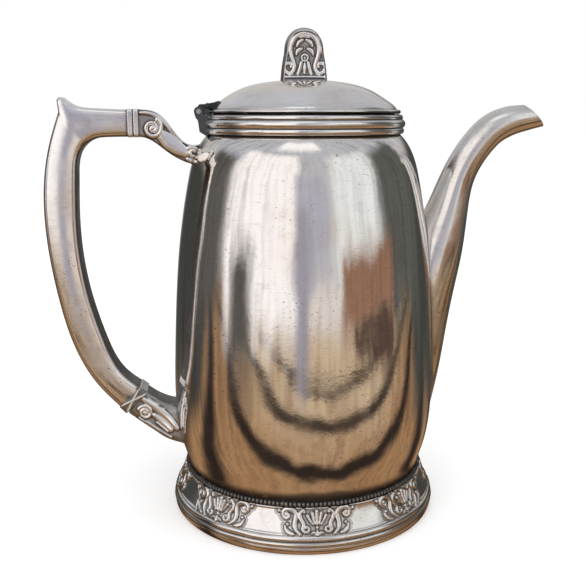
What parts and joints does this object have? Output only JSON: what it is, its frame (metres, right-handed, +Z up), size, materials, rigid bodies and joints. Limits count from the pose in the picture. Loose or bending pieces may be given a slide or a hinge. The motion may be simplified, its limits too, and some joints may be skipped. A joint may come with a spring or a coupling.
{
  "type": "coffee pot",
  "caption": "Silver-plated coffee pot with a barrel body on a spreading relief foot, gooseneck spout, squared scroll handle and hinged domed lid with an arched finial.",
  "frame": {"origin": "centre of the foot, on the surface the pot stands on", "axes": "+Z up through the finial, +X toward the spout, -X toward the handle and hinge, -Y the side seen with the spout on the right"},
  "size_m": [0.2212, 0.1218, 0.215],
  "materials": {
    "silver_plate": "worn mirror polish with fine scratches, specks and a warm tone",
    "oxidised_silver_relief": "polished high points with near-black oxidised recesses",
    "tarnished_silver": "dark green-black tarnish with bright worn edges",
    "nickel_silver": "dull bare metal"
  },
  "bodies": {
    "pot": {"body_front_half": "silver_plate", "body_rear_half": "silver_plate", "bottom_plate": "silver_plate", "foot_ring": "oxidised_silver_relief", "foot_rim_wire": "silver_plate", "foot_bead_wire": "oxidised_silver_relief", "neck_collar": "silver_plate", "spout_front_half": "silver_plate", "spout_rear_half": "silver_plate", "handle_upper_mount": "oxidised_silver_relief", "handle_upper_band": "silver_plate", "grip_front_half": "silver_plate", "grip_rear_half": "silver_plate", "handle_lower_band": "silver_plate", "handle_lower_mount": "oxidised_silver_relief", "body_hinge_leaf": "tarnished_silver", "hinge_pin": "nickel_silver"},
    "lid": {"lid_dome": "silver_plate", "lid_rim_wire": "silver_plate", "lid_bezel": "silver_plate", "lid_hinge_leaf": "tarnished_silver", "finial": "oxidised_silver_relief", "finial_washer": "nickel_silver", "finial_nut": "nickel_silver"}
  },
  "joints": [
    {"name": "lid_hinge", "type": "hinge", "parent": "pot", "child": "lid", "pos_m": [-0.0457, 0, 0.1797], "axis": [0, -1, 0], "range_deg": [0, 105]}
  ]
}
